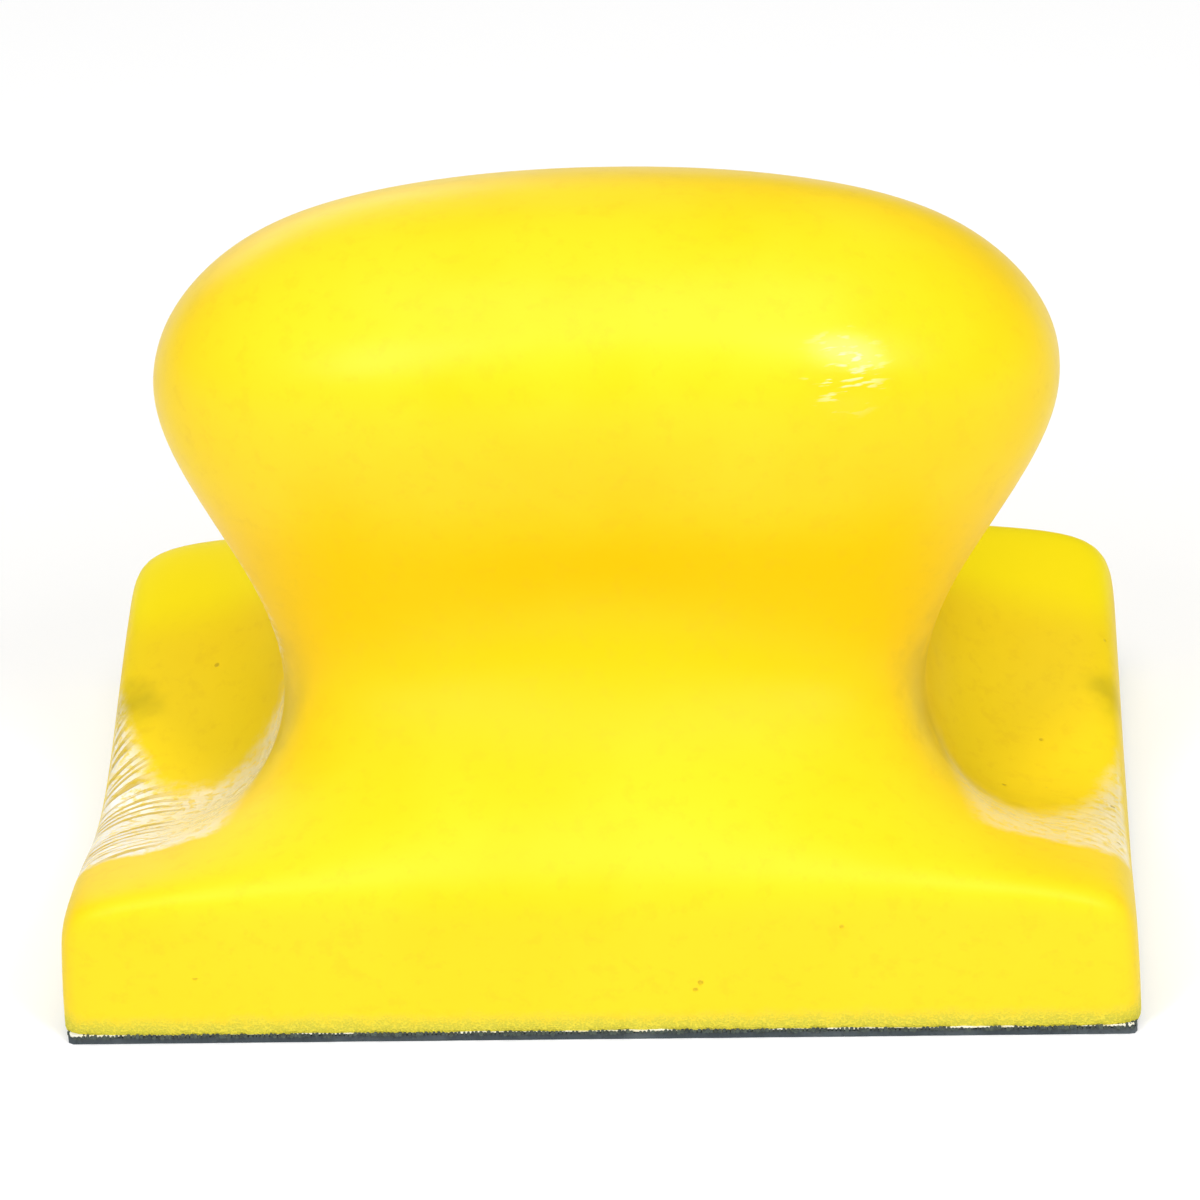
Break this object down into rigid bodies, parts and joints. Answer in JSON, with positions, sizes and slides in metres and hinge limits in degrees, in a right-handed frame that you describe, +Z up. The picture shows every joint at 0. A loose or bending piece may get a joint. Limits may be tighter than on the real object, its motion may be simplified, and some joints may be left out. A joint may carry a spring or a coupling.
{
  "type": "grout float",
  "caption": "Palm grout float: a one-piece moulded foam block and mushroom grip with finger scoops at both ends, on a thin bonded rubber sole.",
  "frame": {"origin": "centre of the sole's working face, which lies on z = 0", "axes": "+Z up out of the sole through the grip, +X along the long side of the block, +Y along the short side"},
  "size_m": [0.1286, 0.088, 0.09],
  "materials": {
    "yellow_foam_skin": "satin moulded polyurethane foam skin, fine grain",
    "dried_adhesive": "dried off-white contact adhesive",
    "backing_cloth": "coarse dark woven backing",
    "sole_rubber": "dark blue-grey matt rubber"
  },
  "bodies": {
    "root": {"moulded_body": "yellow_foam_skin", "adhesive_film": "dried_adhesive", "sole_backing_cloth": "backing_cloth", "rubber_sole": "sole_rubber"}
  },
  "joints": []
}
